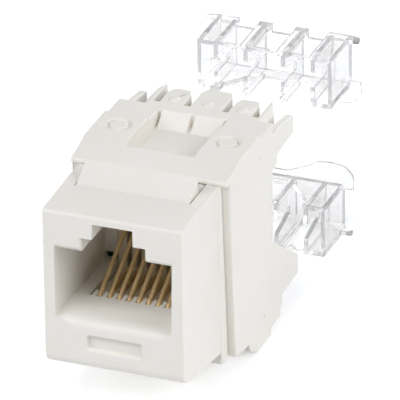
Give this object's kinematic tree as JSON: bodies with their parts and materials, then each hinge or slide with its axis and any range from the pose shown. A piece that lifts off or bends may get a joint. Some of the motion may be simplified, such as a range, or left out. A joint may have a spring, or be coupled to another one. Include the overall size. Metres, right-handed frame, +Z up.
{
  "type": "keystone jack",
  "caption": "Snap-in modular socket with a spring-contact port, a panel latch, wire-terminal arms at the rear and clear caps lifted off behind them.",
  "frame": {"origin": "centre of the plug port's mouth, in the plane of the front face", "axes": "+Y from the front face to the rear, +Z up to the panel latch, +X across the port to the right seen from the front"},
  "size_m": [0.0164, 0.0468, 0.0238],
  "materials": {
    "white_plastic": "satin moulded off-white",
    "clear_plastic": "polished clear moulding",
    "gold_plated": "gold-plated spring wire",
    "bronze_strip": "phosphor-bronze strip",
    "circuit_board": "solder-mask laminate"
  },
  "bodies": {
    "jack": {"front_housing": "white_plastic", "contact_carrier": "white_plastic", "contact_spring_1": "gold_plated", "contact_spring_2": "gold_plated", "contact_spring_3": "gold_plated", "contact_spring_4": "gold_plated", "contact_spring_5": "gold_plated", "contact_spring_6": "gold_plated", "contact_spring_7": "gold_plated", "contact_spring_8": "gold_plated", "circuit_board": "circuit_board", "rear_housing": "white_plastic", "upper_terminal_block": "white_plastic", "upper_terminal_1": "bronze_strip", "upper_terminal_2": "bronze_strip", "upper_terminal_3": "bronze_strip", "upper_terminal_4": "bronze_strip", "lower_terminal_block": "white_plastic", "lower_terminal_1": "bronze_strip", "lower_terminal_2": "bronze_strip", "lower_terminal_3": "bronze_strip", "lower_terminal_4": "bronze_strip"},
    "latch": {"panel_latch": "white_plastic"},
    "cap_top": {"upper_wire_cap": "clear_plastic"},
    "cap_bottom": {"lower_wire_cap": "clear_plastic"}
  },
  "joints": [
    {"name": "latch_press", "type": "hinge", "parent": "jack", "child": "latch", "pos_m": [0, 0.0055, 0.0077], "axis": [-1, 0, 0], "range_deg": [0, 15], "stiffness_Nm_per_rad": 0.05},
    {"name": "upper_cap_push_on", "type": "slide", "parent": "jack", "child": "cap_top", "axis": [0, -0.9893, 0.1462], "range_m": [0, 0.01587]},
    {"name": "lower_cap_push_on", "type": "slide", "parent": "jack", "child": "cap_bottom", "axis": [0, -0.9918, 0.128], "range_m": [0, 0.01351]}
  ]
}
